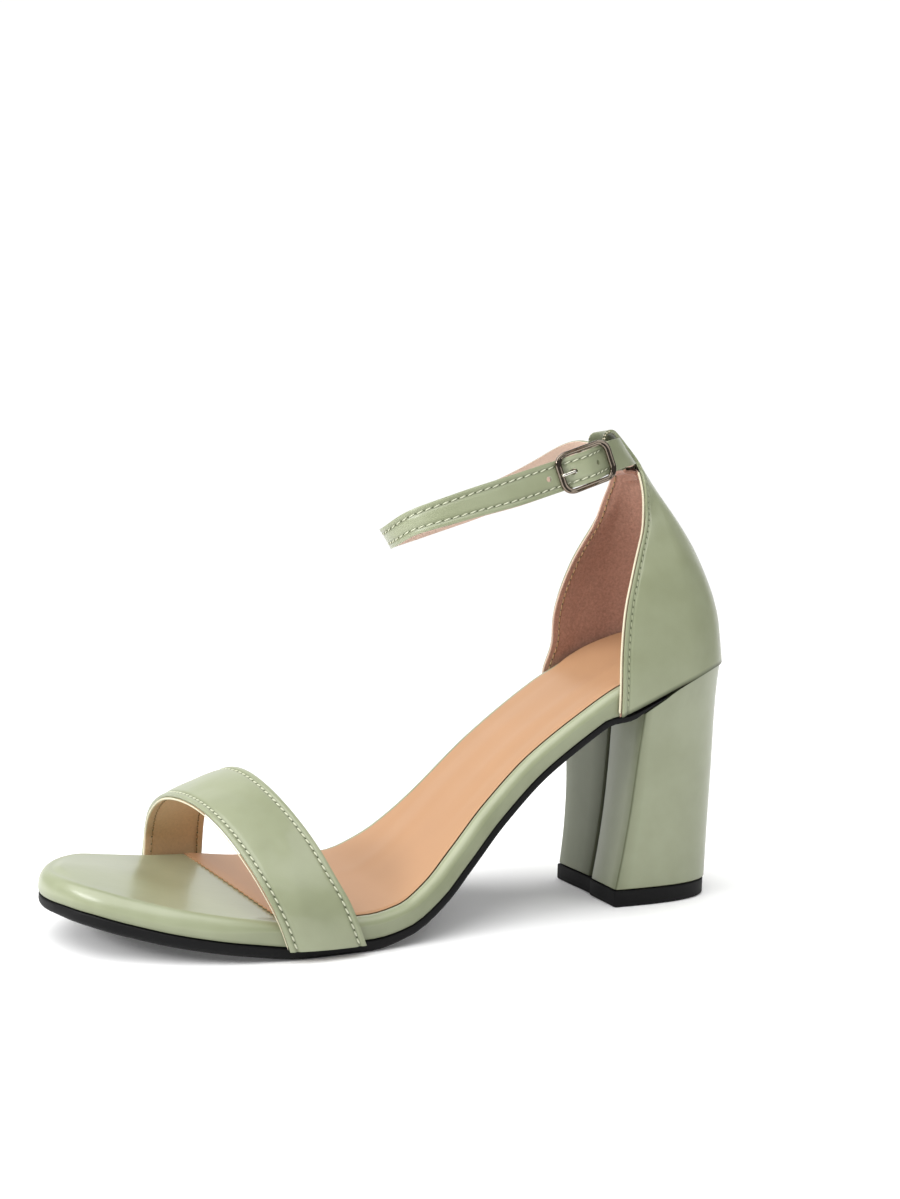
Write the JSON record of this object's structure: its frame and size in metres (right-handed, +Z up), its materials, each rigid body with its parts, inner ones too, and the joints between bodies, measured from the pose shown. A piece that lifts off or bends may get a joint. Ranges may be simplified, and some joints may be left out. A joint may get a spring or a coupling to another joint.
{
  "type": "heeled sandal",
  "caption": "Open-toed heeled sandal for the left foot: vamp band, closed counter with a tab, buckled ankle strap, wrapped platform sole and block heel.",
  "frame": {"origin": "middle of the shoe's length and width, on the floor", "axes": "+X from toe to heel, +Y to the inner (big toe) side, +Z up"},
  "size_m": [0.2266, 0.0904, 0.1583],
  "materials": {
    "upper": "satin",
    "wrap": "satin",
    "sock": "matte",
    "rubber": "matte",
    "buckle": "polished dark plating"
  },
  "bodies": {
    "root": {"outsole": "rubber", "platform": "wrap", "insole": "sock", "heel_block": "wrap", "heel_top_piece": "rubber", "vamp_strap": "upper", "heel_counter": "upper", "ankle_strap": "upper", "buckle_frame": "buckle", "buckle_prong": "buckle"}
  },
  "joints": []
}
